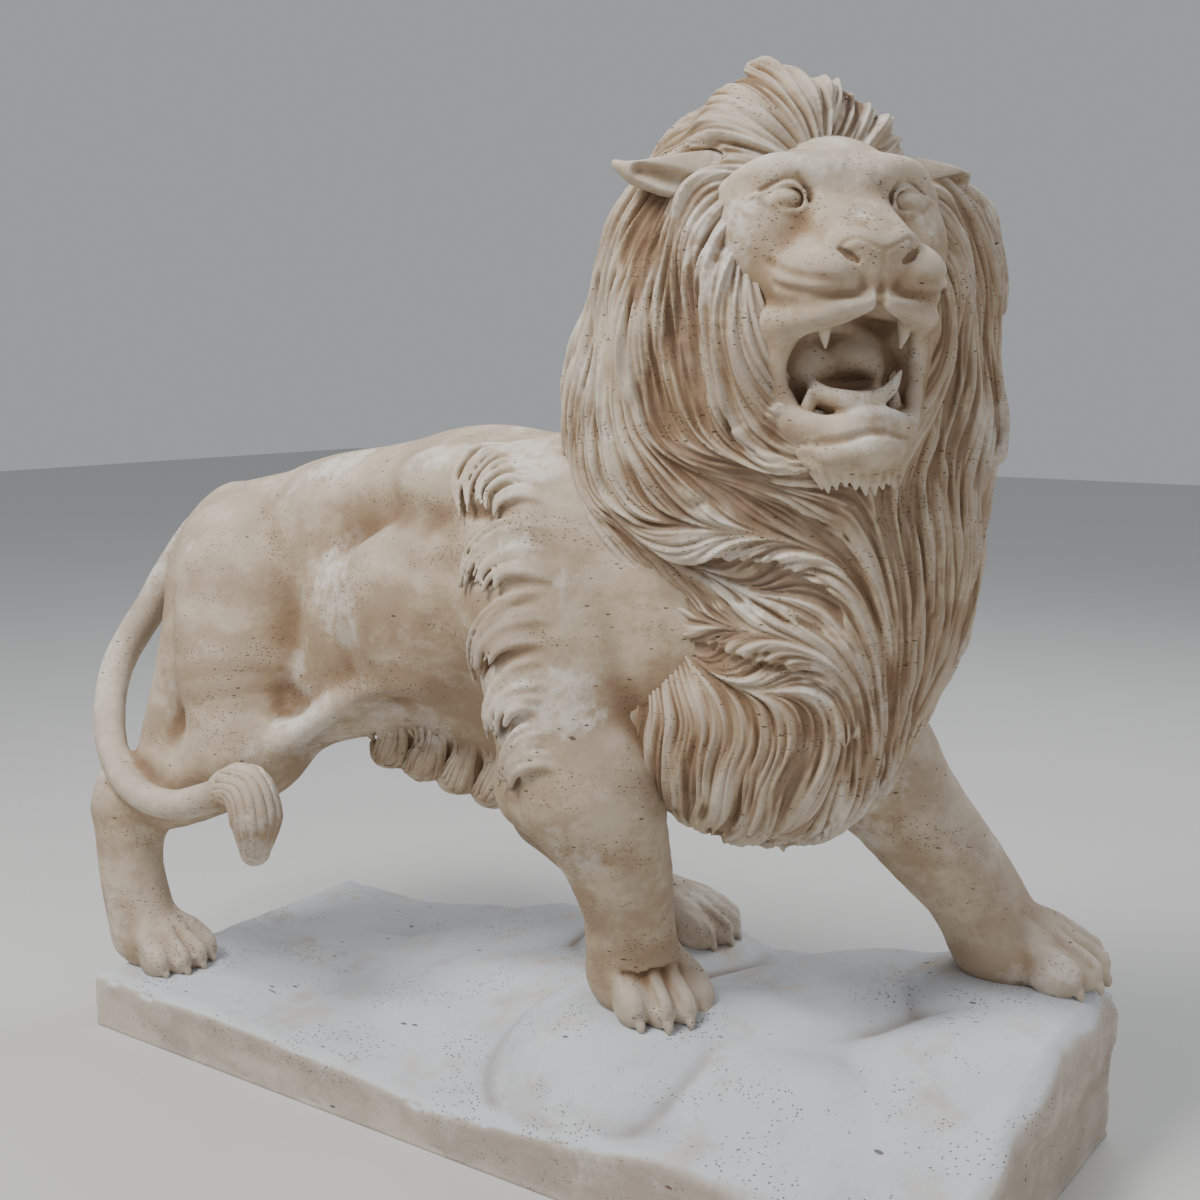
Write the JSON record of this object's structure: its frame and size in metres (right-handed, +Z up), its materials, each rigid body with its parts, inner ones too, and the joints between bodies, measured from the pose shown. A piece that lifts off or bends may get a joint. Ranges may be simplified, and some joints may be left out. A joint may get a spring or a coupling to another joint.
{
  "type": "stone lion statue",
  "caption": "Carved travertine statue of a striding, roaring lion with a full mane, on its own rectangular rock-topped plinth.",
  "frame": {"origin": "middle of the plinth's rectangular underside", "axes": "+Z up, +X along the plinth from the tail to the chest, +Y to the lion's left; the lion turns its head to its right, towards -Y"},
  "size_m": [2.018, 0.7694, 1.7661],
  "materials": {
    "travertine": "carved beige travertine with small open pits, chalky where it faces up and dusty blue-white on the plinth's top"
  },
  "bodies": {
    "root": {"lion_and_plinth": "travertine"}
  },
  "joints": []
}
